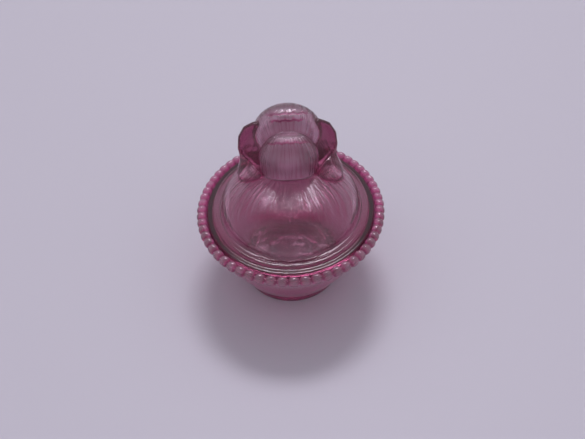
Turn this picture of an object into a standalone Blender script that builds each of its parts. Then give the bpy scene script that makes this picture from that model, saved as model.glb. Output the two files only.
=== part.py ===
"""Covered oval candy dish in pressed glass: a beaded base and a lid shaped as a young elephant lying down.

Metres, +Z up. The origin is on the table, at the middle of the oval foot, and the animal faces +Y.
The lid lifts straight up off a ledge just inside the ring of beads.
"""
import math

import bmesh
import bpy
from mathutils import Matrix, Vector

# Driving dimensions, in metres. Oval sizes are half-widths along X; half-lengths are OVAL_RATIO longer.
OVAL_RATIO = 1.25
RING_HALF_WIDTH = 0.0664
RING_HEIGHT = 0.0520
BEAD_COUNT = 60
BEAD_HALF_LENGTH = 0.0037
BEAD_HALF_HEIGHT = 0.0036
BEAD_VALLEY = 0.50
FOOT_HALF_WIDTH = 0.0378
FOOT_RING_WIDTH = 0.0060
FOOT_RECESS = 0.0018
FLOOR_THICKNESS = 0.0050
FLOOR_HALF_WIDTH = 0.0320
MIDDLE_RING = 0.0160
WALL = 0.0045
LEDGE_HEIGHT = 0.0490
LEDGE_HALF_WIDTH = 0.0628
LEDGE_WIDTH = 0.0050
SEAT_GAP = 0.0003
FLANGE_HALF_WIDTH = 0.0620
FLANGE_WIDTH = 0.0095
FLANGE_MIDDLE_RING = 0.0300
FILLET_HALF_WIDTH = 0.0575
FILLET_HEIGHT = 0.0022
BODY_HALF_WIDTH = 0.0515
BODY_BASE_HEIGHT = 0.0570
BODY_RISE = 0.0210
LID_WALL = 0.0048
HOLLOW_DROP = 0.0020

# Profiles: half-width and height of the wall's outside, then the places where it meets ring and ledge
WALL_LINE = ((0.0448, 0.0130), (0.0518, 0.0240), (0.0577, 0.0350))
WALL_TOP = (0.0620, 0.0450)
LEDGE_ROOT = (0.0572, 0.0420)
FLOOR_CORNER = (0.0355, 0.0010)
FOOT_EDGE = ((-0.0005, 0.0), (0.0, 0.0010), (0.0003, 0.0040))
FOOT_RECESS_SLOPE = 0.0015
RING_INNER_DROP = 0.0005
FLANGE_EDGE = ((-0.0006, 0.0), (0.0, 0.0010), (-0.0005, 0.0040), (-0.0030, 0.0050))
FILLET_CREST = (0.0018, 0.0004)

# Places on the animal, in metres: centre, then half sizes. The head group is turned about NECK_AXIS.
NECK_AXIS = Vector((-0.0010, 0.0120, 0.0))
HEAD_TURN = math.radians(5.0)
SKULL = (Vector((0.0006, 0.0380, 0.0953)), Vector((0.0259, 0.0216, 0.0208)))
NAPE = (Vector((0.0, 0.0115, 0.0905)), Vector((0.0220, 0.0165, 0.0175)))
NECK = (Vector((0.0, 0.0160, 0.0780)), Vector((0.0190, 0.0185, 0.0220)))
SHOULDER = (Vector((0.0272, 0.0155, 0.0737)), Vector((0.0122, 0.0140, 0.0135)))
CHEST = (Vector((0.0, 0.0390, 0.0720)), Vector((0.0245, 0.0200, 0.0220)))
FOREFOOT = (Vector((0.0190, 0.0600, 0.0610)), Vector((0.0090, 0.0120, 0.0080)))
NAPE_HOLLOW = (Vector((0.0, 0.0115, 0.0905)), Vector((0.0172, 0.0118, 0.0128)))
SKULL_HOLLOW = (Vector((0.0003, 0.0370, 0.0920)), Vector((0.0182, 0.0154, 0.0190)))
SHOULDER_HOLLOW = (Vector((0.0285, 0.0140, 0.0700)), Vector((0.0064, 0.0074, 0.0070)))
HOLLOW_FOOT = 0.0580
TRUNK_ROUTE = (
    (Vector((0.0, 0.0500, 0.0960)), 0.0125),
    (Vector((0.0, 0.0590, 0.0890)), 0.0105),
    (Vector((0.0, 0.0650, 0.0790)), 0.0085),
    (Vector((0.0, 0.0675, 0.0690)), 0.0072),
    (Vector((0.0, 0.0675, 0.0600)), 0.0066),
)

# Ear: points down the line where it joins the head, and the matching points on its outer edge
EAR_ROOT = (
    Vector((0.0150, 0.0300, 0.1062)),
    Vector((0.0185, 0.0300, 0.1008)),
    Vector((0.0200, 0.0275, 0.0950)),
    Vector((0.0196, 0.0230, 0.0886)),
    Vector((0.0186, 0.0170, 0.0828)),
    Vector((0.0168, 0.0100, 0.0785)),
    Vector((0.0150, 0.0035, 0.0757)),
)
EAR_EDGE = (
    Vector((0.0250, 0.0280, 0.1062)),
    Vector((0.0325, 0.0262, 0.1042)),
    Vector((0.0362, 0.0235, 0.0988)),
    Vector((0.0365, 0.0200, 0.0925)),
    Vector((0.0352, 0.0165, 0.0870)),
    Vector((0.0262, 0.0095, 0.0815)),
    Vector((0.0178, 0.0030, 0.0768)),
)
EAR_THICKNESS = 0.0050
EAR_CUP = 0.0040

# Mesh fineness
WALL_SEGMENTS = 60
BEAD_STEPS = 4
BEAD_TURNS = (-70, -30, 10, 50, 90, 130)
DOME_RINGS = 7
DOME_END = math.radians(86.0)
BALL_SEGMENTS = 24
BALL_RINGS = 14
THIMBLE_RINGS = 6
THIMBLE_END = math.radians(78.0)
EAR_STEPS = 4
TRUNK_SEGMENTS = 12
ARC_STEPS = 4000

GLASS_COLOUR = {"base": (0.62, 0.22, 0.36, 1.0), "lid": (0.66, 0.30, 0.45, 1.0)}
GLASS_ROUGHNESS = 0.06


def clear_scene():
    for old in list(bpy.data.objects):
        bpy.data.objects.remove(old, do_unlink=True)


def glass(name):
    material = bpy.data.materials.new(name + "_glass")
    material.use_nodes = True
    shader = material.node_tree.nodes["Principled BSDF"]
    shader.inputs["Base Color"].default_value = GLASS_COLOUR[name]
    shader.inputs["Roughness"].default_value = GLASS_ROUGHNESS
    shader.inputs["Metallic"].default_value = 0.0
    shader.inputs["Transmission Weight"].default_value = 1.0
    return material


def add_object(name, bm):
    bmesh.ops.recalc_face_normals(bm, faces=bm.faces)
    mesh = bpy.data.meshes.new(name)
    bm.to_mesh(mesh)
    bm.free()
    mesh.shade_smooth()
    obj = bpy.data.objects.new(name, mesh)
    bpy.context.scene.collection.objects.link(obj)
    return obj


def even_angles(count):
    """Ellipse angles that cut the ring's oval into equal lengths."""
    lengths = [0.0]
    previous = Vector((1.0, 0.0))
    for i in range(1, ARC_STEPS + 1):
        angle = 2.0 * math.pi * i / ARC_STEPS
        point = Vector((math.cos(angle), OVAL_RATIO * math.sin(angle)))
        lengths.append(lengths[-1] + (point - previous).length)
        previous = point
    angles = []
    index = 0
    for k in range(count):
        target = lengths[-1] * k / count
        while lengths[index + 1] < target:
            index += 1
        part = (target - lengths[index]) / (lengths[index + 1] - lengths[index])
        angles.append(2.0 * math.pi * (index + part) / ARC_STEPS)
    return angles


def oval_ring(half_width, height, angles):
    return [
        Vector((half_width * math.cos(a), OVAL_RATIO * half_width * math.sin(a), height))
        for a in angles
    ]


def bead_ring(turn, angles):
    """One line of points round the ring of beads; turn is the angle round a bead's own section."""
    points = []
    for i, a in enumerate(angles):
        middle = Vector((RING_HALF_WIDTH * math.cos(a), OVAL_RATIO * RING_HALF_WIDTH * math.sin(a), 0.0))
        outward = Vector((OVAL_RATIO * math.cos(a), math.sin(a), 0.0)).normalized()
        from_bead = 2.0 * abs((i % BEAD_STEPS) / BEAD_STEPS - 0.5)
        swell = BEAD_VALLEY + (1.0 - BEAD_VALLEY) * math.sqrt(1.0 - from_bead ** 2)
        offset = swell * BEAD_HALF_LENGTH * math.cos(turn)
        rise = swell * BEAD_HALF_HEIGHT * math.sin(turn)
        points.append(middle + outward * offset + Vector((0.0, 0.0, RING_HEIGHT + rise)))
    return points


def bridge(bm, lower, upper):
    """Join two closed rings of vertices; one may have a whole number of times as many as the other."""
    if len(lower) > len(upper):
        lower, upper = upper, lower
    ratio = len(upper) // len(lower)
    for i, corner in enumerate(lower):
        following = lower[(i + 1) % len(lower)]
        fan = [upper[(i * ratio + k) % len(upper)] for k in range(ratio + 1)]
        half = ratio // 2
        for k in range(ratio):
            if k == half:
                bm.faces.new((corner, following, fan[k + 1], fan[k]))
            elif k < half:
                bm.faces.new((corner, fan[k + 1], fan[k]))
            else:
                bm.faces.new((following, fan[k + 1], fan[k]))


def loft(name, rings):
    """A closed solid through the rings, with its first and last ring closed by a fan to the middle."""
    bm = bmesh.new()
    rows = [[bm.verts.new(point) for point in ring] for ring in rings]
    for lower, upper in zip(rows, rows[1:]):
        bridge(bm, lower, upper)
    for row in (rows[0], rows[-1]):
        middle = bm.verts.new(sum((vert.co for vert in row), Vector()) / len(row))
        for i, vert in enumerate(row):
            bm.faces.new((vert, row[(i + 1) % len(row)], middle))
    return add_object(name, bm)


def ball(name, place, side=1.0):
    """An ellipsoid; side -1 puts it on the left of the animal."""
    centre, half = place
    bm = bmesh.new()
    bmesh.ops.create_uvsphere(bm, u_segments=BALL_SEGMENTS, v_segments=BALL_RINGS, radius=1.0)
    scale = Matrix.Diagonal((*half, 1.0))
    move = Matrix.Translation(Vector((side * centre.x, centre.y, centre.z)))
    bmesh.ops.transform(bm, matrix=move @ scale, verts=bm.verts)
    return add_object(name, bm)


def thimble(name, place):
    """A cutter with the ellipsoid's own top and straight sides down to the space inside the body."""
    centre, half = place
    levels = [(1.0, HOLLOW_FOOT - centre.z)]
    for k in range(THIMBLE_RINGS):
        turn = THIMBLE_END * k / (THIMBLE_RINGS - 1)
        levels.append((math.cos(turn), half.z * math.sin(turn)))
    rings = []
    for size, rise in levels:
        ring = []
        for k in range(BALL_SEGMENTS):
            around = 2.0 * math.pi * k / BALL_SEGMENTS
            reach = Vector((half.x * math.cos(around), half.y * math.sin(around), 0.0))
            ring.append(centre + size * reach + Vector((0.0, 0.0, rise)))
        rings.append(ring)
    return loft(name, rings)


def cut_or_join(target, other, operation):
    """Apply an exact boolean to the target and throw the other object away."""
    modifier = target.modifiers.new(operation.lower(), "BOOLEAN")
    modifier.operation = operation
    modifier.solver = "EXACT"
    modifier.object = other
    bpy.context.view_layer.update()
    graph = bpy.context.evaluated_depsgraph_get()
    mesh = bpy.data.meshes.new_from_object(target.evaluated_get(graph))
    target.modifiers.clear()
    target.data = mesh
    mesh.shade_smooth()
    bpy.data.objects.remove(other, do_unlink=True)


def make_base():
    wall_angles = even_angles(WALL_SEGMENTS)
    bead_angles = even_angles(BEAD_COUNT * BEAD_STEPS)
    foot_inner = FOOT_HALF_WIDTH - FOOT_RING_WIDTH
    floor_top = FOOT_RECESS + FLOOR_THICKNESS
    corner_half, corner_rise = FLOOR_CORNER
    outside = [(MIDDLE_RING, FOOT_RECESS), (foot_inner - FOOT_RECESS_SLOPE, FOOT_RECESS), (foot_inner, 0.0)]
    outside += [(FOOT_HALF_WIDTH + out, height) for out, height in FOOT_EDGE]
    outside += [*WALL_LINE, WALL_TOP]
    inside = [
        (LEDGE_HALF_WIDTH, RING_HEIGHT - RING_INNER_DROP),
        (LEDGE_HALF_WIDTH, LEDGE_HEIGHT),
        (LEDGE_HALF_WIDTH - LEDGE_WIDTH, LEDGE_HEIGHT),
        LEDGE_ROOT,
    ]
    inside += [(half - WALL, height) for half, height in reversed(WALL_LINE)]
    inside.append((corner_half, floor_top + corner_rise))
    inside += [(FLOOR_HALF_WIDTH, floor_top), (MIDDLE_RING, floor_top)]
    rings = [oval_ring(half, height, wall_angles) for half, height in outside]
    rings += [bead_ring(math.radians(turn), bead_angles) for turn in BEAD_TURNS]
    rings += [oval_ring(half, height, wall_angles) for half, height in inside]
    return loft("base", rings)


def dome_rings(half_width, base_height, rise, angles):
    """Rings of a dome from its foot nearly to its crown."""
    rings = []
    for k in range(DOME_RINGS):
        turn = DOME_END * k / (DOME_RINGS - 1)
        rings.append(oval_ring(half_width * math.cos(turn), base_height + rise * math.sin(turn), angles))
    return rings


def body():
    """The flange that sits on the ledge, the fillet round it and the dome of the animal's body."""
    angles = even_angles(WALL_SEGMENTS)
    bottom = LEDGE_HEIGHT + SEAT_GAP
    profile = [(FLANGE_MIDDLE_RING, bottom)]
    profile += [(FLANGE_HALF_WIDTH + out, bottom + rise) for out, rise in FLANGE_EDGE]
    fillet_top = profile[-1][1] + FILLET_HEIGHT
    crest_in, crest_rise = FILLET_CREST
    profile += [(FILLET_HALF_WIDTH, fillet_top), (FILLET_HALF_WIDTH - crest_in, fillet_top + crest_rise)]
    rings = [oval_ring(half, height, angles) for half, height in profile]
    rings += dome_rings(BODY_HALF_WIDTH, BODY_BASE_HEIGHT, BODY_RISE, angles)
    return loft("lid", rings)


def body_hollow():
    """The space under the lid, drawn down past the flange so that it opens the underside."""
    angles = even_angles(WALL_SEGMENTS)
    mouth = FLANGE_HALF_WIDTH - FLANGE_WIDTH
    rings = [oval_ring(mouth, LEDGE_HEIGHT - HOLLOW_DROP, angles)]
    inner_base = BODY_BASE_HEIGHT - HOLLOW_DROP
    inner_rise = BODY_RISE - LID_WALL + HOLLOW_DROP
    rings += dome_rings(BODY_HALF_WIDTH - LID_WALL, inner_base, inner_rise, angles)
    return loft("body_hollow", rings)


def ear(side):
    """A cupped flap from the crown to the neck; its hollow faces the rump."""
    bm = bmesh.new()
    cup = Vector((0.0, EAR_CUP, 0.0))
    half_thick = Vector((0.0, EAR_THICKNESS / 2.0, 0.0))
    sheets = []
    for direction in (-1.0, 1.0):
        sheet = []
        for root, edge in zip(EAR_ROOT, EAR_EDGE):
            row = []
            for k in range(EAR_STEPS + 1):
                part = k / EAR_STEPS
                point = root.lerp(edge, part) + cup * 4.0 * part * (1.0 - part)
                point = point + half_thick * direction
                row.append(bm.verts.new((side * point.x, point.y, point.z)))
            sheet.append(row)
        sheets.append(sheet)
    back, front = sheets
    last = len(EAR_ROOT) - 1
    for sheet in sheets:
        for upper, lower in zip(sheet, sheet[1:]):
            for k in range(EAR_STEPS):
                bm.faces.new((upper[k], upper[k + 1], lower[k + 1], lower[k]))
    for j in range(last):
        for k in (0, EAR_STEPS):
            bm.faces.new((back[j][k], back[j + 1][k], front[j + 1][k], front[j][k]))
    for k in range(EAR_STEPS):
        for j in (0, last):
            bm.faces.new((back[j][k], back[j][k + 1], front[j][k + 1], front[j][k]))
    return add_object("ear", bm)


def trunk():
    """A tapering tube down the front of the face."""
    rings = []
    for i, (centre, radius) in enumerate(TRUNK_ROUTE):
        before = TRUNK_ROUTE[max(i - 1, 0)][0]
        after = TRUNK_ROUTE[min(i + 1, len(TRUNK_ROUTE) - 1)][0]
        along = (after - before).normalized()
        across = Vector((1.0, 0.0, 0.0))
        up = along.cross(across)
        turns = [2.0 * math.pi * k / TRUNK_SEGMENTS for k in range(TRUNK_SEGMENTS)]
        rings.append([centre + radius * (across * math.cos(t) + up * math.sin(t)) for t in turns])
    return loft("trunk", rings)


def turn_head(obj):
    """Turn a piece of the head group about the upright axis through the neck."""
    there = Matrix.Translation(NECK_AXIS)
    back = Matrix.Translation(Vector((0.0, -NECK_AXIS.y, 0.0)))
    obj.data.transform(there @ Matrix.Rotation(HEAD_TURN, 4, "Z") @ back)
    return obj


def make_lid():
    lid = body()
    for extra in (ball("neck", NECK), ball("chest", CHEST)):
        cut_or_join(lid, extra, "UNION")
    for extra in (ball("nape", NAPE), ball("skull", SKULL)):
        cut_or_join(lid, turn_head(extra), "UNION")
    for side in (-1.0, 1.0):
        cut_or_join(lid, ball("shoulder", SHOULDER, side), "UNION")
        cut_or_join(lid, turn_head(ear(side)), "UNION")
        cut_or_join(lid, ball("forefoot", FOREFOOT, side), "UNION")
    cut_or_join(lid, turn_head(trunk()), "UNION")
    hollow = body_hollow()
    for side in (-1.0, 1.0):
        cut_or_join(hollow, ball("shoulder_hollow", SHOULDER_HOLLOW, side), "UNION")
    for extra in (thimble("nape_hollow", NAPE_HOLLOW), thimble("skull_hollow", SKULL_HOLLOW)):
        cut_or_join(hollow, turn_head(extra), "UNION")
    cut_or_join(lid, hollow, "DIFFERENCE")
    return lid


clear_scene()
for piece in (make_base(), make_lid()):
    piece.data.materials.clear()
    piece.data.materials.append(glass(piece.name))
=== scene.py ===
"""The looks of the covered candy dish: rose-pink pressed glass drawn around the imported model."""
import math

import bpy
import numpy as np
from mathutils import Matrix, Vector


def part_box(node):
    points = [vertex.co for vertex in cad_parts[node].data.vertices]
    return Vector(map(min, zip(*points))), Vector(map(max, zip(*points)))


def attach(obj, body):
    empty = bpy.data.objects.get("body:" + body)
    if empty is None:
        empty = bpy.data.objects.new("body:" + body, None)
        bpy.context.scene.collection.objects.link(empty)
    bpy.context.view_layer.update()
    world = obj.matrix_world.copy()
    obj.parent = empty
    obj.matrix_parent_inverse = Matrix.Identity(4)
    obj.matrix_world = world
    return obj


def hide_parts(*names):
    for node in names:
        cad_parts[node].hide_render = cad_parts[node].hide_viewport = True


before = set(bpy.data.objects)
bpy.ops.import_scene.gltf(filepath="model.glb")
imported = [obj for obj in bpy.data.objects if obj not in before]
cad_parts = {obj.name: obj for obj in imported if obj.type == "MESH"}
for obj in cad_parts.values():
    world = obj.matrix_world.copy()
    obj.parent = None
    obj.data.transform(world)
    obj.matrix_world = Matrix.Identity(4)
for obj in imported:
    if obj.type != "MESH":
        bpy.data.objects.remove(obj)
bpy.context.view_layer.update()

# ---------------------------------------------------------------- sizes, in millimetres
METRE = 1000.0
base_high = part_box("base")[1] * METRE
lid_low, lid_high = (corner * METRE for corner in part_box("lid"))

OVAL = 1.25                                  # length of every oval section over its width
BEADS = 60
BEAD_HALF = 3.7                              # half length of a bead, across the ring
BEAD_HEIGHT = 3.6                            # half height of a bead
BEAD_VALLEY = 0.30                           # a bead's radius where it meets the next, over its full one
BEAD_SECTION = np.linspace(-75.0, 165.0, 17)   # degrees round a bead, from under the ring to the ledge
RING_HALF = base_high.x - BEAD_HALF          # half width of the line through the bead middles
RING_Z = base_high.z - BEAD_HEIGHT
SEAT_Z = lid_low.z                           # underside of the lid's flange
LEDGE_Z = SEAT_Z - 0.3
FLANGE_HALF = lid_high.x
FLANGE_THICK = 5.0
SKIRT_HALF = 57.5                            # the low step between the flange and the body
SKIRT_TOP = 7.2
FOOT_HALF = 37.8
FOOT_INNER = FOOT_HALF - 6.0
FOOT_RECESS = 1.8
FLOOR_TOP = 6.8
DISC_HALF = 16.6                             # the plain oval in the middle of the rays
DISC_RISE = 1.3
RAYS = 80
RAY_PRESS = 0.35
BODY_HALF = 51.5
BODY_Z = 57.0
BODY_RISE = 21.0
BACK_LIFT = 2.4                              # extra height of the back, just behind the nape
LID_WALL = 4.8
HOLLOW_Z = BODY_Z - 2.0

# Fineness
LID_STEP = 0.76            # spacing of the lid's surface points
BASE_PER_BEAD = 10
GRID_MARGIN = 3.0
ROW_STEP = 1.6
RELAX_ROUNDS = 4

# ---------------------------------------------------------------- the animal: centres and half sizes
HEAD_TURN = math.radians(5.0)
NECK_AXIS = (-1.0, 12.0)
NECK = ((0.0, 16.0, 78.0), (19.0, 18.5, 22.0))
CHEST = ((0.0, 39.0, 72.0), (24.5, 20.0, 22.0))
NAPE = ((0.0, 11.5, 90.5), (22.0, 16.5, 17.5))
SKULL = ((0.6, 38.0, 95.3), (25.9, 21.6, 20.8))
SHOULDER = ((27.2, 15.5, 73.7), (12.2, 14.0, 13.5))
FOREFOOT = ((19.0, 60.0, 61.0), (9.0, 12.0, 8.0))
CHEEK = ((15.0, 50.0, 84.0), (9.0, 9.0, 9.0))
EYE = ((19.0, 51.5, 95.5), (3.0, 2.6, 3.0))
NAPE_HOLLOW = ((0.0, 11.5, 90.5), (17.2, 11.8, 12.8))
SKULL_HOLLOW = ((0.3, 37.0, 92.0), (19.5, 15.4, 19.0))
SHOULDER_HOLLOW = ((28.5, 14.0, 70.0), (6.4, 7.4, 7.0))

# Tapering bars: start, end, radius at the start, radius at the end
NAPE_FOOT = ((-5.5, 12.5, 80.0), (5.5, 12.5, 80.0), 15.5, 15.5)
EAR_BACK = ((29.5, 16.0, 77.0), (32.2, 19.5, 89.5), 8.5, 3.2)
TUSK = ((9.5, 58.0, 84.0), (12.5, 66.0, 79.0), 2.6, 1.3)
TRUNK = (((0.0, 50.0, 94.0), 12.0), ((0.0, 58.5, 88.0), 10.0), ((0.0, 64.5, 79.0), 8.2),
         ((0.0, 67.0, 69.5), 7.0), ((0.0, 67.0, 61.0), 6.4))

# The ear: its outline seen from behind, then where its sheet lies and how it leans at each height
EAR_OUTLINE = [(8.0, 104.0), (24.0, 104.6), (31.0, 102.6), (34.4, 98.2), (35.0, 92.4), (33.6, 87.2),
               (25.0, 81.6), (17.2, 77.6), (10.0, 76.5)]
EAR_DEPTH = ((74.0, 8.0), (76.0, 9.5), (79.0, 12.5), (83.0, 17.5), (88.0, 22.5), (93.0, 26.0),
             (98.0, 28.2), (104.0, 29.6), (110.0, 30.0))
EAR_SLOPE = ((76.0, 0.50), (80.0, 0.58), (86.0, 0.68), (95.0, 0.90), (104.0, 0.99))
EAR_CUP = 4.5
RIDGE_TOP = np.array((35.0, 18.0, 92.0), np.float32)
RIDGE_FOOT = np.array((16.8, 1.5, 77.0), np.float32)
POCKET_DOWN = np.array((0.0, 0.65, -0.76), np.float32)

# Hair and folds
WITHERS = np.array([0.0, 0.0, 78.0])
RUMP = np.array([0.0, -64.0, 57.0])
HAIR_PITCH = 2.6
TUFT_PITCH = 4.1
HAIR_HEIGHT = 0.12
FOLD_DEPTH = 0.35
NAPE_FOLD = (91.5, 17.0)                     # height up the tilted plane, and half width
SKULL_FOLDS = ((112.6, 17.0), (107.8, 14.0))

# ---------------------------------------------------------------- camera: behind the animal
CAMERA_ELEVATION = math.radians(37.7)
CAMERA_SWING = math.radians(2.0)
CAMERA_ROLL = math.radians(-1.23)
CAMERA_DISTANCE = 648.0
CAMERA_AIM = Vector((1.1, -14.8, 0.0))       # where it looks, from the middle of the bead ring
CAMERA_LENS = 53.3
CAMERA_SENSOR = 36.0


def place_camera():
    away = Vector((0.0, -math.cos(CAMERA_ELEVATION), math.sin(CAMERA_ELEVATION))) * CAMERA_DISTANCE
    forward = (CAMERA_AIM - away).normalized()
    right = forward.cross(Vector((0.0, 0.0, 1.0))).normalized()
    up = right.cross(forward)
    turned_right = right * math.cos(CAMERA_ROLL) + up * math.sin(CAMERA_ROLL)
    turned_up = up * math.cos(CAMERA_ROLL) - right * math.sin(CAMERA_ROLL)
    facing = Matrix((turned_right, turned_up, -forward)).transposed().to_4x4()
    swing = Matrix.Rotation(CAMERA_SWING, 4, "Z")
    lift = Matrix.Translation(Vector((0.0, 0.0, RING_Z)) / METRE)
    data = bpy.data.cameras.new("camera")
    data.sensor_width = CAMERA_SENSOR
    data.lens = CAMERA_LENS
    camera = bpy.data.objects.new("camera", data)
    bpy.context.scene.collection.objects.link(camera)
    camera.matrix_world = lift @ swing @ Matrix.Translation(away / METRE) @ facing
    bpy.context.scene.camera = camera


# ---------------------------------------------------------------- smooth solids: fields, negative inside
def ramp(value, start, end):
    """0 at start and beyond, 1 at end and beyond, straight between them."""
    return np.clip((value - start) / (end - start), 0.0, 1.0)


def curve(value, points):
    """The height, at each value, of the broken line through (value, height) points."""
    return np.interp(value, [x for x, _ in points], [y for _, y in points])


def soft_min(a, b, blend):
    """The union of two fields, with a fillet about as wide as blend where they meet."""
    h = np.maximum(blend - np.abs(a - b), 0.0) / blend
    return np.minimum(a, b) - h * h * blend * 0.25


def soft_max(a, b, blend):
    return -soft_min(-a, -b, blend)


def ellipsoid(p, centre, half):
    q = p - np.array(centre, np.float32)
    half = np.array(half, np.float32)
    near = np.linalg.norm(q / half, axis=-1)
    slope = np.linalg.norm(q / (half * half), axis=-1)
    return near * (near - 1.0) / np.maximum(slope, 1e-6)


def oval_dome(q, height, half, rise):
    """A dome whose section is the same ellipse along every radius of the oval."""
    return ellipsoid(np.stack([q, height], axis=-1), (0.0, 0.0), (half, rise))


def capsule(p, start, end, radius_start, radius_end):
    """A round bar that tapers from start to end."""
    start, end = np.array(start, np.float32), np.array(end, np.float32)
    along = end - start
    part = np.clip((p - start) @ along / (along @ along), 0.0, 1.0)
    reach = np.linalg.norm(p - start - part[..., None] * along, axis=-1)
    return reach - (radius_start + (radius_end - radius_start) * part)


def thimble(p, centre, half):
    """A round-topped hollow: half an ellipsoid, with straight walls below its middle."""
    q = p - np.array(centre, np.float32)
    q[..., 2] = np.maximum(q[..., 2], 0.0)
    return ellipsoid(q, (0.0, 0.0, 0.0), half)


def rounded_slab(q, z, half, low, high, corner):
    """A flat oval slab of half width half between two heights, with rounded edges."""
    across = q - half + corner
    upright = np.abs(z - 0.5 * (low + high)) - 0.5 * (high - low) + corner
    outside = np.hypot(np.maximum(across, 0.0), np.maximum(upright, 0.0))
    return outside + np.minimum(np.maximum(across, upright), 0.0) - corner


def outline_field(x, z, corners, rounding):
    """Distance from a closed outline in the XZ plane, negative inside, with its corners rounded."""
    best = np.full(x.shape, 1e9, np.float32)
    inside = np.zeros(x.shape, bool)
    for (ax, az), (bx, bz) in zip(corners, corners[1:] + corners[:1]):
        ex, ez = bx - ax, bz - az
        part = np.clip(((x - ax) * ex + (z - az) * ez) / (ex * ex + ez * ez), 0.0, 1.0)
        best = np.minimum(best, np.hypot(x - ax - part * ex, z - az - part * ez))
        crosses = (az > z) != (bz > z)
        side = ax + (z - az) / (bz - az if bz != az else 1e-9) * ex
        inside ^= crosses & (x < side)
    return np.where(inside, -best, best) - rounding


# ---------------------------------------------------------------- the lid's shape
def oval_reach(p):
    """Half width of the oval that goes through each point."""
    return np.hypot(p[..., 0], p[..., 1] / OVAL)


def turned(p):
    """Points in the head's own frame, which is turned a little about the neck."""
    c, s = math.cos(HEAD_TURN), math.sin(HEAD_TURN)
    x, y = p[..., 0] - NECK_AXIS[0], p[..., 1] - NECK_AXIS[1]
    return np.stack([x * c + y * s, y * c - x * s + NECK_AXIS[1], p[..., 2]], axis=-1)


def both_sides(p):
    """Points folded over to the right-hand side, so that one shape makes a pair."""
    return np.stack([np.abs(p[..., 0]), p[..., 1], p[..., 2]], axis=-1)


def back_field(p):
    """The animal's back: a low dome that rises a little more towards the neck."""
    lift = BACK_LIFT * np.exp(-((p[..., 1] - 8.0) / 22.0) ** 2 - (p[..., 0] / 34.0) ** 2)
    return oval_dome(oval_reach(p), p[..., 2] - BODY_Z - lift, BODY_HALF, BODY_RISE)


def nape_field(h):
    """The round nape, with a broad foot that meets the back in a nearly straight line."""
    return soft_min(ellipsoid(h, *NAPE), capsule(h, *NAPE_FOOT), 3.0)


def shoulder_field(p, h):
    """A shoulder and the outside of the ear above it, cut off behind the ear's front rim."""
    folded = both_sides(h)
    shoulder = soft_min(ellipsoid(both_sides(p), *SHOULDER), capsule(folded, *EAR_BACK), 3.0)
    across = np.cross(POCKET_DOWN, RIDGE_FOOT - RIDGE_TOP)
    pocket = (folded - RIDGE_TOP) @ (across / np.linalg.norm(across))
    return soft_max(shoulder, pocket, 0.8)


def ear_field(h):
    """A cupped flap whose hollow faces the rump; h holds points in the head's frame."""
    x, y, z = np.abs(h[..., 0]), h[..., 1], h[..., 2]
    cup = EAR_CUP * (1.0 - ((x - 24.0) / 13.0) ** 2)
    lean = -0.12 * (x - 20.0)
    edge = outline_field(x, z, EAR_OUTLINE, 2.0)
    thick = 2.0 + 0.7 * ramp(edge, -3.5, 0.0)
    sheet = np.abs(y - curve(z, EAR_DEPTH) - cup - lean) * curve(z, EAR_SLOPE) - thick
    return soft_max(sheet, edge, 2.0)


def trunk_field(h):
    field = None
    for (start, radius_start), (end, radius_end) in zip(TRUNK, TRUNK[1:]):
        part = capsule(h, start, end, radius_start, radius_end)
        field = part if field is None else soft_min(field, part, 2.0)
    return field + 0.35 * np.cos(h[..., 2] * 1.6) * ramp(h[..., 1], 60.0, 65.0)


def head_field(h):
    """Nape, skull, cheeks, trunk, tusks and eyes, in the head's frame."""
    face = both_sides(h)
    head = soft_min(nape_field(h), ellipsoid(h, *SKULL), 2.5)
    head = soft_min(head, ellipsoid(face, *CHEEK), 5.0)
    head = soft_min(head, trunk_field(h), 4.0)
    head = soft_min(head, capsule(face, *TUSK), 1.5)
    return soft_min(head, ellipsoid(face, *EYE), 0.8)


def lid_outside(p):
    q, z, h = oval_reach(p), p[..., 2], turned(p)
    flange = rounded_slab(q, z, FLANGE_HALF, SEAT_Z, SEAT_Z + FLANGE_THICK, 1.1)
    skirt = rounded_slab(q, z, SKIRT_HALF, SEAT_Z + 0.5, SEAT_Z + SKIRT_TOP, 1.0)
    body = soft_max(back_field(p), BODY_Z - 4.0 - z, 1.0)
    field = soft_min(soft_min(flange, skirt, 1.0), body, 1.8)
    field = soft_min(field, soft_min(ellipsoid(p, *CHEST), ellipsoid(p, *NECK), 4.0), 1.2)
    field = soft_min(field, shoulder_field(p, h), 0.8)
    field = soft_min(field, ellipsoid(both_sides(p), *FOREFOOT), 1.5)
    field = soft_min(field, head_field(h), 1.6)
    return soft_min(field, ear_field(h), 1.5)


def lid_inside(p):
    q, z, h = oval_reach(p), p[..., 2], turned(p)
    half = BODY_HALF - LID_WALL
    inner = oval_dome(q, z - HOLLOW_Z, half, BODY_Z + BODY_RISE - LID_WALL - HOLLOW_Z)
    mouth = soft_max((q - half - np.maximum(HOLLOW_Z - z, 0.0)) * 0.75, z - HOLLOW_Z - 0.5, 1.0)
    hollow = soft_min(soft_min(inner, mouth, 1.5), thimble(both_sides(p), *SHOULDER_HOLLOW), 2.0)
    return soft_min(hollow, soft_min(thimble(h, *NAPE_HOLLOW), thimble(h, *SKULL_HOLLOW), 2.0), 3.0)


def lid_field(p):
    return soft_max(lid_outside(p), -lid_inside(p), 0.8)


# ---------------------------------------------------------------- the lid's hair and folds
RIM, BACK, SHOULDERS, NAPE_PART, SKULL_PART, EARS, TRUNK_PART = range(7)
HAIR_BY_PART = [0.0, 1.0, 0.8, 0.8, 0.8, 0.3, 0.0]


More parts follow.
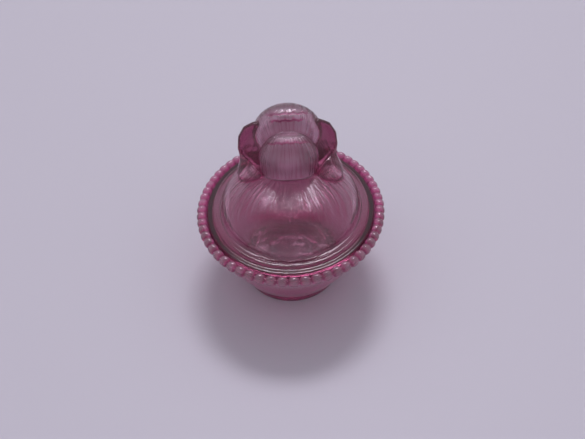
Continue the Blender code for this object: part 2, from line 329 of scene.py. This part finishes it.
def lid_parts(p):
    """Fields of the lid's visible masses, in the order of the part numbers."""
    h = turned(p)
    rim = rounded_slab(oval_reach(p), p[..., 2], FLANGE_HALF, SEAT_Z, SEAT_Z + 6.0, 1.1)
    nape = soft_min(nape_field(h), ellipsoid(p, *NECK), 1.0)
    return np.stack([rim, back_field(p), shoulder_field(p, h), nape, ellipsoid(h, *SKULL),
                     ear_field(h), trunk_field(h)], axis=0)


def hair_coordinates(p, part):
    """For each point, how far across and along the combed hair it lies, in millimetres."""
    x, z, h = p[:, 0], p[:, 2], turned(p)
    spine = (RUMP - WITHERS) / np.linalg.norm(RUMP - WITHERS)
    above = np.cross(spine, np.array([1.0, 0.0, 0.0]))
    from_withers = p - WITHERS
    back_across = np.arctan2(x, from_withers @ above) * 44.0
    nape_across = np.arctan2(h[:, 0], 26.0 - h[:, 1]) * 26.0
    skull_across = np.arctan2(h[:, 0], h[:, 2] - 70.0) * 34.0
    out, up = np.abs(x) - 27.0, z - 74.0
    ear_across = out * 0.78 + up * 0.62
    ear_along = up * 0.78 - out * 0.62
    masses = [part == BACK, part == SHOULDERS, part == NAPE_PART, part == SKULL_PART, part == EARS]
    across = np.select(masses, [back_across, ear_across, nape_across, skull_across, ear_across], x)
    along = np.select([part == BACK, part == SHOULDERS, part == EARS],
                      [from_withers @ spine, ear_along, ear_along], z)
    return across, along


def combed(across, along):
    """Soft ridges of combed hair, between -1 and 1, that wander and end as tufts."""
    wander = 1.3 * np.sin(along / 8.0 + 0.6 * np.sin(across / 5.0))
    wander += 0.9 * np.sin(across / 6.3 + along / 21.0)
    fine = np.cos(across * 2.0 * math.pi / HAIR_PITCH + wander)
    coarse = np.cos(across * 2.0 * math.pi / TUFT_PITCH - 1.4 * wander + 1.0)
    return (0.55 + 0.45 * np.cos(along / 6.0 + across / 2.9)) * fine * 0.6 + 0.4 * coarse


def hair_strength(p, part, fields):
    """How strong the hair is: it fades towards the rim, the joins and the clear front of the back."""
    side, y, z = np.abs(p[:, 0]), p[:, 1], p[:, 2]
    nearest, next_nearest = np.sort(fields, axis=0)[:2]
    over_floor = ramp(y, -30.0, -42.0) * ramp(side, 44.0, 30.0)
    strength = np.choose(part, HAIR_BY_PART) * np.maximum(ramp(z, 60.0, 72.0), 0.25)
    return strength * (1.0 - 0.85 * over_floor) * ramp(next_nearest - nearest, 0.0, 1.5)


def crease(h, level, reach):
    """A thin groove across the head, where it meets a tilted plane that wavers a little."""
    waver = 0.35 * np.sin(h[:, 0] * 0.9) + 0.2 * np.sin(h[:, 0] * 2.3 + 1.0)
    height = 0.55 * h[:, 1] + 0.835 * h[:, 2] + waver
    return ramp(np.abs(h[:, 0]), reach, reach - 5.0) * np.exp(-((height - level) / 0.7) ** 2)


def head_folds(p, part):
    """One fold across the nape and two across the back of the skull."""
    h = turned(p)
    skull = sum(crease(h, *fold) for fold in SKULL_FOLDS)
    return crease(h, *NAPE_FOLD) * (part == NAPE_PART) + skull * (part == SKULL_PART) * (h[:, 1] < 40.0)


def lid_colour(p, part, fields, folds, outer, head_inside):
    """How deep the pink is at each point, between 0 for clear and 1 for the darkest; painted shade is added
    to it in several places.
    """
    side, y, z = np.abs(p[:, 0]), p[:, 1], p[:, 2]
    over_floor = ramp(y, -38.0, -44.0) * ramp(side, 34.0, 24.0)
    plain = 0.12 * (1.0 - 0.9 * over_floor)
    # painted shade: a darker band across the back, just below the window's reflection
    painted_shade_below_sheen = np.exp(-((y + 37.0) / 5.0) ** 2 - (p[:, 0] / 26.0) ** 4)
    # painted shade: the shoulders are painted darker towards their inner bottom, under the ears beside the
    # nape
    painted_shade_under_ear = ramp(side, 28.0, 21.0) * ramp(z, 84.0, 78.0)
    # painted shade: the flange beyond the skirt is painted darkest, as the dark band between the beads and
    # the body
    rim = np.where(oval_reach(p) > 57.8, 1.0, 0.2)
    # the ears are painted darkest: the deeper pink of their thick glass, and painted shade in their hollows
    colour = np.select([part == RIM, part == BACK, part == SHOULDERS, part == EARS, part == TRUNK_PART],
                       [rim, plain + 0.3 * painted_shade_below_sheen, 0.15 + 0.8 * painted_shade_under_ear, 1.0, 0.25], 0.0)
    # painted shade: a dark line where the shoulders meet the back
    apart = np.abs(fields[SHOULDERS] - fields[BACK])
    nearer = np.minimum(fields[BACK], fields[SHOULDERS])
    painted_contact_shade = np.exp(-(apart / 1.5) ** 2) * (nearer < 1.5) * (y < 20.0)
    lining = plain * (1.0 - outer) * (1.0 - head_inside)
    # the folds also deepen the colour: painted shade in their grooves
    return np.clip((colour + 0.9 * painted_contact_shade + folds) * outer + lining, 0.0, 1.0)


def lid_satin(p, part, outer, head_inside):
    """How satin the surface is: most inside the head, less on the head and the top of the back."""
    back = ramp(p[:, 1], -40.0, -28.0) * ramp(np.abs(p[:, 0]), 40.0, 26.0) * (part == BACK)
    head = np.isin(part, (NAPE_PART, SKULL_PART))
    return np.clip(head_inside + outer * (0.3 * head + 0.35 * back), 0.0, 1.0)


# ---------------------------------------------------------------- meshes from fields
def field_slope(field, p):
    """The field's gradient at each point, by small central steps."""
    small = 0.05
    parts = []
    for axis in range(3):
        step = np.zeros(3, np.float32)
        step[axis] = small
        parts.append((field(p + step) - field(p - step)) / (2.0 * small))
    return np.stack(parts, axis=-1)


def settle(field, p, times):
    """Move points along the gradient until they lie on the field's zero surface."""
    for _ in range(times):
        value = field(p)
        slope = field_slope(field, p)
        move = np.clip(value / np.maximum((slope * slope).sum(-1), 0.05), -0.6, 0.6)
        p = p - move[:, None] * slope
    return p


def surface_net(field, low, high, step):
    """Points and quads of the surface field = 0: one point in each grid cell that it crosses."""
    axes = [np.arange(a, b + step, step, dtype=np.float32) for a, b in zip(low, high)]
    across, upright = np.meshgrid(axes[1], axes[2], indexing="ij")
    values = np.empty([len(axis) for axis in axes], np.float32)
    for i, x in enumerate(axes[0]):
        values[i] = field(np.stack([np.full_like(across, x), across, upright], axis=-1))
    inside = values < 0.0
    corners = [np.array(c) for c in np.ndindex(2, 2, 2)]
    shape = np.array(values.shape) - 1

    def block(array, corner):
        return array[tuple(slice(c, c + n) for c, n in zip(corner, shape))]

    count = sum(block(inside, c).astype(np.int8) for c in corners)
    crossed = (count > 0) & (count < 8)
    cells = np.argwhere(crossed)
    number = np.full(shape, -1, np.int64)
    number[crossed] = np.arange(len(cells))
    total = np.zeros((len(cells), 3), np.float32)
    hits = np.zeros(len(cells), np.float32)
    for axis in range(3):
        along = np.eye(3, dtype=int)[axis]
        for corner in corners:
            if corner[axis]:
                continue
            start = values[tuple((cells + corner).T)]
            end = values[tuple((cells + corner + along).T)]
            cut = (start < 0.0) != (end < 0.0)
            part = start[cut] / (start[cut] - end[cut])
            total[cut] += corner + part[:, None] * along
            hits[cut] += 1.0
    points = np.array(low, np.float32) + (cells + total / hits[:, None]) * step
    quads = []
    for axis in range(3):
        b, c = (axis + 1) % 3, (axis + 2) % 3
        lower = [slice(1, n) for n in shape]
        lower[axis] = slice(0, shape[axis])
        upper = list(lower)
        upper[axis] = slice(1, shape[axis] + 1)
        starts, ends = inside[tuple(lower)], inside[tuple(upper)]
        for rising in (False, True):
            where = np.argwhere((starts != ends) & (ends == rising))
            where[:, b] += 1
            where[:, c] += 1
            back_b, back_c = np.eye(3, dtype=int)[b], np.eye(3, dtype=int)[c]
            loop = [where, where - back_b, where - back_b - back_c, where - back_c]
            if rising:
                loop.reverse()
            quads.append(np.stack([number[tuple(w.T)] for w in loop], axis=-1))
    return points, np.concatenate(quads)


def relax(field, points, quads, times):
    """Even out the spacing of the points while they stay on the surface."""
    pairs = np.concatenate([quads[:, [0, 1]], quads[:, [1, 2]], quads[:, [2, 3]], quads[:, [3, 0]]])
    for _ in range(times):
        total = np.zeros_like(points)
        count = np.zeros(len(points), np.float32)
        for a, b in ((0, 1), (1, 0)):
            for axis in range(3):
                total[:, axis] += np.bincount(pairs[:, a], points[pairs[:, b], axis], len(points))
            count += np.bincount(pairs[:, a], minlength=len(points))
        points = points + 0.5 * (total / count[:, None] - points)
        points = settle(field, points, 1)
    return settle(field, points, 2)


def mesh_object(name, points, quads):
    """A smooth-shaded object from points in millimetres and quads."""
    mesh = bpy.data.meshes.new(name)
    mesh.vertices.add(len(points))
    mesh.vertices.foreach_set("co", (points / METRE).astype(np.float32).ravel())
    mesh.loops.add(quads.size)
    mesh.loops.foreach_set("vertex_index", quads.astype(np.int32).ravel())
    mesh.polygons.add(len(quads))
    mesh.polygons.foreach_set("loop_start", np.arange(0, quads.size, 4, dtype=np.int32))
    mesh.update(calc_edges=True)
    mesh.validate()
    mesh.shade_smooth()
    obj = bpy.data.objects.new(name, mesh)
    bpy.context.scene.collection.objects.link(obj)
    return obj


def rows_object(name, rows):
    """A closed object through rings of points, its two ends closed by small flat caps."""
    around = len(rows[0])
    start = np.arange(around)
    following = (start + 1) % around
    quads = [np.stack([start + r * around, following + r * around, following + (r + 1) * around,
                       start + (r + 1) * around], axis=-1) for r in range(len(rows) - 1)]
    k = np.arange(around // 2 - 1)
    for row, flip in ((0, True), (len(rows) - 1, False)):
        cap = np.stack([k, k + 1, around - 2 - k, around - 1 - k], axis=-1) + row * around
        quads.append(cap[:, ::-1] if flip else cap)
    return mesh_object(name, np.concatenate(rows), np.concatenate(quads))


def add_values(obj, name, values):
    """Store one number per point, for the material to read."""
    layer = obj.data.attributes.new(name, "FLOAT", "POINT")
    layer.data.foreach_set("value", values.astype(np.float32))


# ---------------------------------------------------------------- the lid
def make_lid():
    low = [corner - GRID_MARGIN for corner in lid_low]
    high = [corner + GRID_MARGIN for corner in lid_high]
    points, quads = surface_net(lid_field, low, high, LID_STEP)
    points = relax(lid_field, points, quads, RELAX_ROUNDS)
    fields = lid_parts(points)
    part = np.argmin(fields, axis=0)
    outer = ramp(np.abs(lid_outside(points)), 0.6, 0.0)
    across, along = hair_coordinates(points, part)
    hair = hair_strength(points, part, fields) * outer
    relief = HAIR_HEIGHT * hair * (combed(across, along) - 0.8)
    folds = head_folds(points, part)
    relief -= FOLD_DEPTH * outer * folds
    slope = field_slope(lid_field, points)
    slope /= np.linalg.norm(slope, axis=-1)[:, None]
    points = points + relief[:, None] * slope
    head_inside = (1.0 - outer) * ramp(points[:, 2], 74.0, 78.0)
    lid = mesh_object("lid_glass_body", points, quads)
    add_values(lid, "hair_across", across)
    add_values(lid, "hair_along", along)
    add_values(lid, "hair_amount", hair)
    add_values(lid, "deep", lid_colour(points, part, fields, folds, outer, head_inside))
    add_values(lid, "satin", lid_satin(points, part, outer, head_inside))
    return lid


# ---------------------------------------------------------------- the base
# Depth of colour: the wall's by height, and outside, on the edge of and inside the plain oval; outside the
# oval the floor is painted deeper as painted shade, and its edge clearest as a painted highlight
WALL_COLOURS = ((0.5, 1.0), (2.5, 0.85), (5.0, 0.5), (32.0, 0.45), (42.0, 0.12))
UNDERSIDE_TINT_AND_PAINTED_SHADING = (0.28, 0.0, 0.06)
FLOOR_TINT_AND_PAINTED_SHADING = (0.40, 0.10, 0.30)
FLOOR_MIDDLE_COLOUR = 0.32
# painted shade: the ledge under the lid's flange is painted darkest
LEDGE_PAINTED_SHADE = 1.0
INNER_WALL_COLOUR = 0.12
RAY_PAINTED_SHADING = 0.5


def even_angles(count):
    """Ellipse angles that cut the ring's oval into equal lengths."""
    fine = np.linspace(0.0, 2.0 * math.pi, 20001)
    steps = np.hypot(np.diff(np.cos(fine)), np.diff(OVAL * np.sin(fine)))
    length = np.concatenate([[0.0], np.cumsum(steps)])
    return np.interp(np.arange(count) * length[-1] / count, length, fine)


def arc(centre, radii, start, end, count):
    """Points of a section along part of an ellipse, as (half width, height)."""
    turns = np.radians(np.linspace(start, end, count))
    return [(centre[0] + radii[0] * math.cos(t), centre[1] + radii[1] * math.sin(t)) for t in turns]


def subdivided(points, longest):
    """The same open section with extra points, so that no stretch is longer than longest."""
    result = [points[0]]
    for (ax, az), (bx, bz) in zip(points, points[1:]):
        pieces = max(1, math.ceil(math.hypot(bx - ax, bz - az) / longest))
        result += [(ax + (bx - ax) * k / pieces, az + (bz - az) * k / pieces) for k in range(1, pieces + 1)]
    return result


def smooth_curve(points, per_stretch):
    """A Catmull-Rom curve through section points."""
    padded = [points[0]] + list(points) + [points[-1]]
    result = []
    for a, b, c, d in zip(padded, padded[1:], padded[2:], padded[3:]):
        for k in range(per_stretch):
            t = k / per_stretch
            result.append(tuple(
                0.5 * (2 * q + (r - p) * t + (2 * p - 5 * q + 4 * r - s) * t * t
                       + (3 * q - p - 3 * r + s) * t ** 3)
                for p, q, r, s in zip(a, b, c, d)))
    result.append(points[-1])
    return result


def underside():
    """The foot's recess, from its middle outwards, with the plain oval pressed up a little further."""
    disc_top = FOOT_RECESS + DISC_RISE
    return subdivided([(1.0, disc_top), (DISC_HALF - 1.2, disc_top), (DISC_HALF - 0.4, disc_top - 0.3),
                       (DISC_HALF, FOOT_RECESS), (DISC_HALF + 0.7, FOOT_RECESS), (24.0, FOOT_RECESS),
                       (FOOT_INNER - 2.2, FOOT_RECESS), (FOOT_INNER - 0.8, FOOT_RECESS - 0.4)], ROW_STEP)


def outside():
    """The foot ring and the flared wall up to the beads."""
    foot = arc((FOOT_INNER + 0.7, 0.7), (0.7, 0.7), 200.0, 270.0, 4)
    foot += arc((FOOT_HALF - 1.0, 1.0), (1.0, 1.0), 270.0, 350.0, 5)
    wall = smooth_curve([(FOOT_HALF + 0.2, 3.2), (40.6, 7.0), (44.8, 13.0), (51.8, 24.0), (57.7, 35.0),
                         (61.4, 43.5), (62.8, 47.0)], 4)
    return foot + subdivided(wall, ROW_STEP)


def inside():
    """The ledge that the lid rests on, then the inner wall and the floor."""
    ledge = [(62.9, RING_Z - 1.2), (62.8, LEDGE_Z + 0.8), (62.3, LEDGE_Z + 0.1), (61.6, LEDGE_Z),
             (59.0, LEDGE_Z), (58.0, LEDGE_Z - 0.4)]
    wall = smooth_curve([(57.5, LEDGE_Z - 1.4), (56.4, 42.0), (53.2, 35.0), (47.3, 24.0), (40.3, 13.4),
                         (36.0, 8.6), (32.0, 7.0), (27.0, FLOOR_TOP), (14.0, FLOOR_TOP)], 4)
    return subdivided(ledge + wall, ROW_STEP)


def disc_colour(half, colours):
    """One of three depths of colour: outside the plain oval, deeper as painted shade, on its edge, clearest
    as a painted highlight, or inside it.
    """
    if half > DISC_HALF + 0.4:
        return colours[0]
    return colours[1] if half > DISC_HALF - 1.4 else colours[2]


def inside_colour(half, height):
    if height < 9.5:
        return disc_colour(half, FLOOR_TINT_AND_PAINTED_SHADING)
    return LEDGE_PAINTED_SHADE if height > LEDGE_Z - 0.6 else INNER_WALL_COLOUR


def make_base():
    angles = even_angles(BEADS * BASE_PER_BEAD)
    cos, sin = np.cos(angles), np.sin(angles)
    outward = np.stack([OVAL * cos, sin], axis=-1)
    outward /= np.linalg.norm(outward, axis=-1)[:, None]
    from_middle = np.abs((np.arange(len(angles)) % BASE_PER_BEAD) / BASE_PER_BEAD - 0.5) * 2.0
    ball = np.sqrt(np.maximum(1.0 - from_middle ** 2, 0.0))
    swell = BEAD_VALLEY + (1.0 - BEAD_VALLEY) * ball
    ray_wave = 0.5 - 0.5 * np.cos(2.0 * math.pi * np.arange(len(angles)) * RAYS / len(angles))
    rows, deep = [], []

    def add_oval(half, height, colour, press=0.0):
        rays = ramp(half, DISC_HALF + 0.8, DISC_HALF + 2.8) * ramp(half, FOOT_INNER - 1.5, FOOT_INNER - 3.5)
        rows.append(np.stack([half * cos, OVAL * half * sin, height + press * rays * ray_wave], axis=-1))
        # painted light and shade: the rays are painted in stripes, alternately deeper and clearer
        deep.append(colour + RAY_PAINTED_SHADING * rays * (ray_wave - 0.5))

    for half, height in underside():
        add_oval(half, height, disc_colour(half, UNDERSIDE_TINT_AND_PAINTED_SHADING), RAY_PRESS)
    for half, height in outside():
        add_oval(half, height, curve(height, WALL_COLOURS))
    for turn in BEAD_SECTION:
        offset = swell * BEAD_HALF * math.cos(math.radians(turn))
        rise = swell * BEAD_HEIGHT * math.sin(math.radians(turn))
        rows.append(np.stack([RING_HALF * cos + outward[:, 0] * offset,
                              OVAL * RING_HALF * sin + outward[:, 1] * offset, RING_Z + rise], axis=-1))
        # painted shade: the beads are deeper in the valleys between them and on their inner side, towards
        # the ledge
        deep.append(0.22 + 0.6 * (1.0 - ball) + 0.5 * ramp(turn, 120.0, 160.0))
    for half, height in inside():
        add_oval(half, height, inside_colour(half, height))
    add_oval(1.0, FLOOR_TOP, FLOOR_MIDDLE_COLOUR)
    bowl = rows_object("base_glass_bowl", rows)
    add_values(bowl, "deep", np.concatenate(deep))
    return bowl


# ---------------------------------------------------------------- materials
ABSORB = (0.58, 0.0, 0.27, 1.0)
LID_DENSITY = 40.0
BASE_DENSITY = 24.0
TINT_CLEAR = (0.98, 0.90, 0.95, 1.0)
TINT_LIGHT = (0.77, 0.61, 0.68, 1.0)
TINT_MAGENTA = (0.78, 0.10, 0.34, 1.0)
TINT_DEEP = (0.32, 0.08, 0.16, 1.0)
GLASS_IOR = 1.5
LID_TRANSMISSION = 0.97
BASE_TRANSMISSION = 0.74
BASE_ROUGHNESS = 0.04
CLEAR_ROUGHNESS = 0.05
SATIN_ROUGHNESS = 0.38
HAIR_STRETCH = 0.045                         # how much slower the hair's grain changes along it than across
HAIR_BUMP = 0.0003
TABLE_COLOUR = (0.605, 0.58, 0.64, 1.0)
TABLE_REACH = 4.0
TABLE_DROP = 0.0002                          # keeps the table's face apart from the foot's


def node(tree, kind, values=None, **settings):
    """Add a node, set its own settings and the numbers in its sockets."""
    made = tree.nodes.new(kind)
    for key, value in settings.items():
        setattr(made, key, value)
    for key, value in (values or {}).items():
        made.inputs[key].default_value = value
    return made


def attribute(tree, name):
    return node(tree, "ShaderNodeAttribute", attribute_name=name).outputs["Fac"]


def map_range(tree, value, start, end, low=0.0, high=1.0, smooth=True):
    """A number that goes from low to high while value goes from start to end."""
    limits = {"From Min": start, "From Max": end, "To Min": low, "To Max": high}
    made = node(tree, "ShaderNodeMapRange", limits, interpolation_type="SMOOTHSTEP" if smooth else "LINEAR")
    tree.links.new(value, made.inputs["Value"])
    return made.outputs["Result"]


def arithmetic(tree, operation, *values):
    """A math node; each value is a number or an output socket."""
    made = node(tree, "ShaderNodeMath", operation=operation)
    for socket, value in zip(made.inputs, values):
        if isinstance(value, float):
            socket.default_value = value
        else:
            tree.links.new(value, socket)
    return made.outputs[0]


def glass(name, density, roughness, transmission):
    """Pink glass: a tint at its surface by the stored depth of colour, which also holds painted shade and
    painted highlights, and a pink that deepens inside.
    """
    material = bpy.data.materials.new(name)
    material.use_nodes = True
    tree = material.node_tree
    shader = tree.nodes["Principled BSDF"]
    shader.inputs["Transmission Weight"].default_value = transmission
    shader.inputs["Roughness"].default_value = roughness
    shader.inputs["IOR"].default_value = GLASS_IOR
    tints = node(tree, "ShaderNodeValToRGB")
    stops = tints.color_ramp.elements
    stops[0].color = TINT_CLEAR
    stops[1].color = TINT_DEEP
    stops.new(0.12).color = TINT_LIGHT
    stops.new(0.5).color = TINT_MAGENTA
    tints.name = "tints"
    tree.links.new(attribute(tree, "deep"), tints.inputs["Fac"])
    tree.links.new(tints.outputs["Color"], shader.inputs["Base Color"])
    tint = node(tree, "ShaderNodeVolumeAbsorption", {"Color": ABSORB, "Density": density})
    tree.links.new(tint.outputs["Volume"], tree.nodes["Material Output"].inputs["Volume"])
    return material


def hair_grooves(tree):
    """Fine lines that run along the combed hair, as a number between 0 and 1."""
    grain = node(tree, "ShaderNodeCombineXYZ")
    tree.links.new(attribute(tree, "hair_across"), grain.inputs["X"])
    along = arithmetic(tree, "MULTIPLY", attribute(tree, "hair_along"), HAIR_STRETCH)
    tree.links.new(along, grain.inputs["Y"])
    hairs = node(tree, "ShaderNodeTexNoise", {"Scale": 0.62, "Detail": 2.0, "Roughness": 0.6})
    tree.links.new(grain.outputs[0], hairs.inputs["Vector"])
    return map_range(tree, hairs.outputs["Fac"], 0.36, 0.60)


def lid_glass():
    """The lid's glass: combed hair lines pressed into a satin surface, with painted light and shade along
    them, and deeper colour, partly painted shade, in its ears.
    """
    material = glass("lid_rose_glass", LID_DENSITY, CLEAR_ROUGHNESS, LID_TRANSMISSION)
    tree = material.node_tree
    shader = tree.nodes["Principled BSDF"]
    roughness = map_range(tree, attribute(tree, "satin"), 0.0, 1.0, CLEAR_ROUGHNESS, SATIN_ROUGHNESS,
                          smooth=False)
    tree.links.new(roughness, shader.inputs["Roughness"])
    grooves = hair_grooves(tree)
    # painted light and shade: the colour is clearer on the hair ridges and deeper between them
    shade = map_range(tree, grooves, 0.0, 1.0, 0.22, -0.10, smooth=False)
    depth = arithmetic(tree, "MULTIPLY_ADD", shade, attribute(tree, "hair_amount"), attribute(tree, "deep"))
    tree.links.new(depth, tree.nodes["tints"].inputs["Fac"])
    bump = node(tree, "ShaderNodeBump", {"Distance": HAIR_BUMP})
    tree.links.new(grooves, bump.inputs["Height"])
    tree.links.new(attribute(tree, "hair_amount"), bump.inputs["Strength"])
    tree.links.new(bump.outputs["Normal"], shader.inputs["Normal"])
    return material


def table_material():
    material = bpy.data.materials.new("pale_table")
    material.use_nodes = True
    shader = material.node_tree.nodes["Principled BSDF"]
    shader.inputs["Base Color"].default_value = TABLE_COLOUR
    shader.inputs["Roughness"].default_value = 0.55
    return material


def add_table():
    mesh = bpy.data.meshes.new("floor")
    corners = [(x * TABLE_REACH, y * TABLE_REACH, 0.0) for x, y in ((-1, -1), (1, -1), (1, 1), (-1, 1))]
    mesh.from_pydata(corners, [], [(0, 1, 2, 3)])
    table = bpy.data.objects.new("floor", mesh)
    table.location.z = -TABLE_DROP
    bpy.context.scene.collection.objects.link(table)
    mesh.materials.append(table_material())


# ---------------------------------------------------------------- light
ROOM_COLOUR = (0.80, 0.77, 0.86, 1.0)
ROOM_LIGHT = 0.64
ZENITH_LIGHT = 0.35                          # the room straight overhead, over the rest of it
FRONT_LIGHT = 0.65                           # extra light, low on the camera's side
WINDOW_LIGHT = 17.0
WINDOW_HEIGHTS = (43.0, 50.0, 57.0, 61.0)    # degrees above the table: where it begins, is full, and ends
WINDOW_SIDES = (-24.0, -9.0, 12.0, 26.0)     # degrees from straight behind the dish
BOUNCES = 40                                 # light is reflected many times inside glass


def soft_band(tree, value, degrees):
    """A number that is 1 between the middle two angles and fades to 0 at the outer two."""
    outer_low, inner_low, inner_high, outer_high = (math.radians(d) for d in degrees)
    rise = map_range(tree, value, outer_low, inner_low)
    fall = map_range(tree, value, outer_high, inner_high)
    return arithmetic(tree, "MULTIPLY", rise, fall)


def light_room():
    """A pale room with one broad soft window, high behind the dish."""
    world = bpy.data.worlds.new("soft_room")
    world.use_nodes = True
    tree = world.node_tree
    background = tree.nodes["Background"]
    background.inputs["Color"].default_value = ROOM_COLOUR
    way = node(tree, "ShaderNodeTexCoord")
    axes = node(tree, "ShaderNodeSeparateXYZ")
    tree.links.new(way.outputs["Generated"], axes.inputs[0])
    x, y, z = axes.outputs
    height = arithmetic(tree, "ARCSINE", z)
    side = arithmetic(tree, "ARCTAN2", x, y)
    window = arithmetic(tree, "MULTIPLY", soft_band(tree, height, WINDOW_HEIGHTS),
                        soft_band(tree, side, WINDOW_SIDES))
    room = map_range(tree, y, -1.0, 1.0, 0.8 * ROOM_LIGHT, 1.2 * ROOM_LIGHT, smooth=False)
    overhead = map_range(tree, z, math.sin(math.radians(60.0)), math.sin(math.radians(74.0)),
                         1.0, ZENITH_LIGHT)
    low = map_range(tree, z, math.sin(math.radians(50.0)), 0.0, 0.0, FRONT_LIGHT)
    front = map_range(tree, y, 0.1, -0.7)
    fill = arithmetic(tree, "MULTIPLY_ADD", low, front, arithmetic(tree, "MULTIPLY", room, overhead))
    total = arithmetic(tree, "MULTIPLY_ADD", window, WINDOW_LIGHT, fill)
    tree.links.new(total, background.inputs["Strength"])
    bpy.context.scene.world = world


def set_film():
    scene = bpy.context.scene
    scene.view_settings.view_transform = "Standard"
    scene.cycles.max_bounces = BOUNCES
    scene.cycles.transmission_bounces = BOUNCES
    scene.cycles.glossy_bounces = BOUNCES
    scene.cycles.diffuse_bounces = 6


# ---------------------------------------------------------------- the scene
place_camera()
add_table()
light_room()
set_film()

base = make_base()
base.data.materials.append(glass("base_rose_glass", BASE_DENSITY, BASE_ROUGHNESS, BASE_TRANSMISSION))
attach(base, "base")
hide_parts("base")

lid = make_lid()
lid.data.materials.append(lid_glass())
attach(lid, "lid")
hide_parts("lid")
